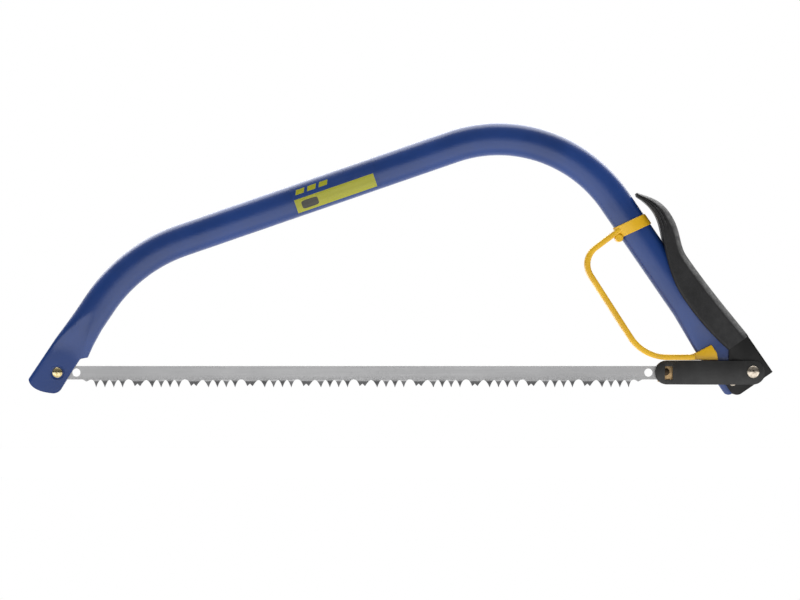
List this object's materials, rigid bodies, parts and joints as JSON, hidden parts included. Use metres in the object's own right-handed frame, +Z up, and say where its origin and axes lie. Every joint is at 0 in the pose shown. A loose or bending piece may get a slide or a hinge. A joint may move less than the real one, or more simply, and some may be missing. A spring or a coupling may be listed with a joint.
{
  "type": "bow saw",
  "caption": "Bow saw with a bent oval tube frame, a toothed blade, a hand guard and a tensioning lever with a moulded grip.",
  "frame": {"origin": "under the middle of the whole saw's box, at the height of its lowest point", "axes": "+X from the nose to the lever, along the blade; +Z up, from the teeth to the top of the bow; +Y away from the side with the label"},
  "size_m": [0.6468, 0.0268, 0.2363],
  "materials": {
    "blue_paint": "semi-gloss powder coat",
    "label_film": "satin printed film",
    "rivet_steel": "zinc plated, worn",
    "yellow_plastic": "moulded, semi-gloss",
    "blade_steel": "ground steel",
    "black_paint": "black paint, semi-gloss",
    "zinc_plate": "yellow zinc plate",
    "dark_steel": "oiled dark steel",
    "grip_plastic": "fine texture, matt"
  },
  "bodies": {
    "frame": {"frame_tube": "blue_paint", "frame_label": "label_film", "front_blade_rivet": "rivet_steel", "pivot_bush": "rivet_steel", "hand_guard": "yellow_plastic"},
    "blade": {"saw_blade": "blade_steel"},
    "lever": {"lever_channel": "black_paint", "lever_grip": "grip_plastic", "lever_pivot_rivet": "rivet_steel"},
    "link": {"link_plate_near": "black_paint", "link_plate_far": "black_paint", "hook_plate": "zinc_plate", "hook_pin": "dark_steel", "link_rivet": "rivet_steel"}
  },
  "joints": [
    {"name": "lever_pivot", "type": "hinge", "parent": "frame", "child": "lever", "pos_m": [0.2885, 0, 0.0115], "axis": [0, 1, 0], "range_deg": [0, 80]},
    {"name": "link_pivot", "type": "hinge", "parent": "lever", "child": "link", "pos_m": [0.306, 0, 0.02], "axis": [0, 1, 0], "range_deg": [-98.4, 0]},
    {"name": "blade_pivot", "type": "hinge", "parent": "frame", "child": "blade", "pos_m": [-0.298, 0, 0.0193], "axis": [0, 1, 0], "range_deg": [0, 5.2]}
  ],
  "couplings": [
    {"joint": "link_pivot", "follows": "lever_pivot", "ratio": -1.23},
    {"joint": "blade_pivot", "follows": "lever_pivot", "ratio": 0.065}
  ]
}
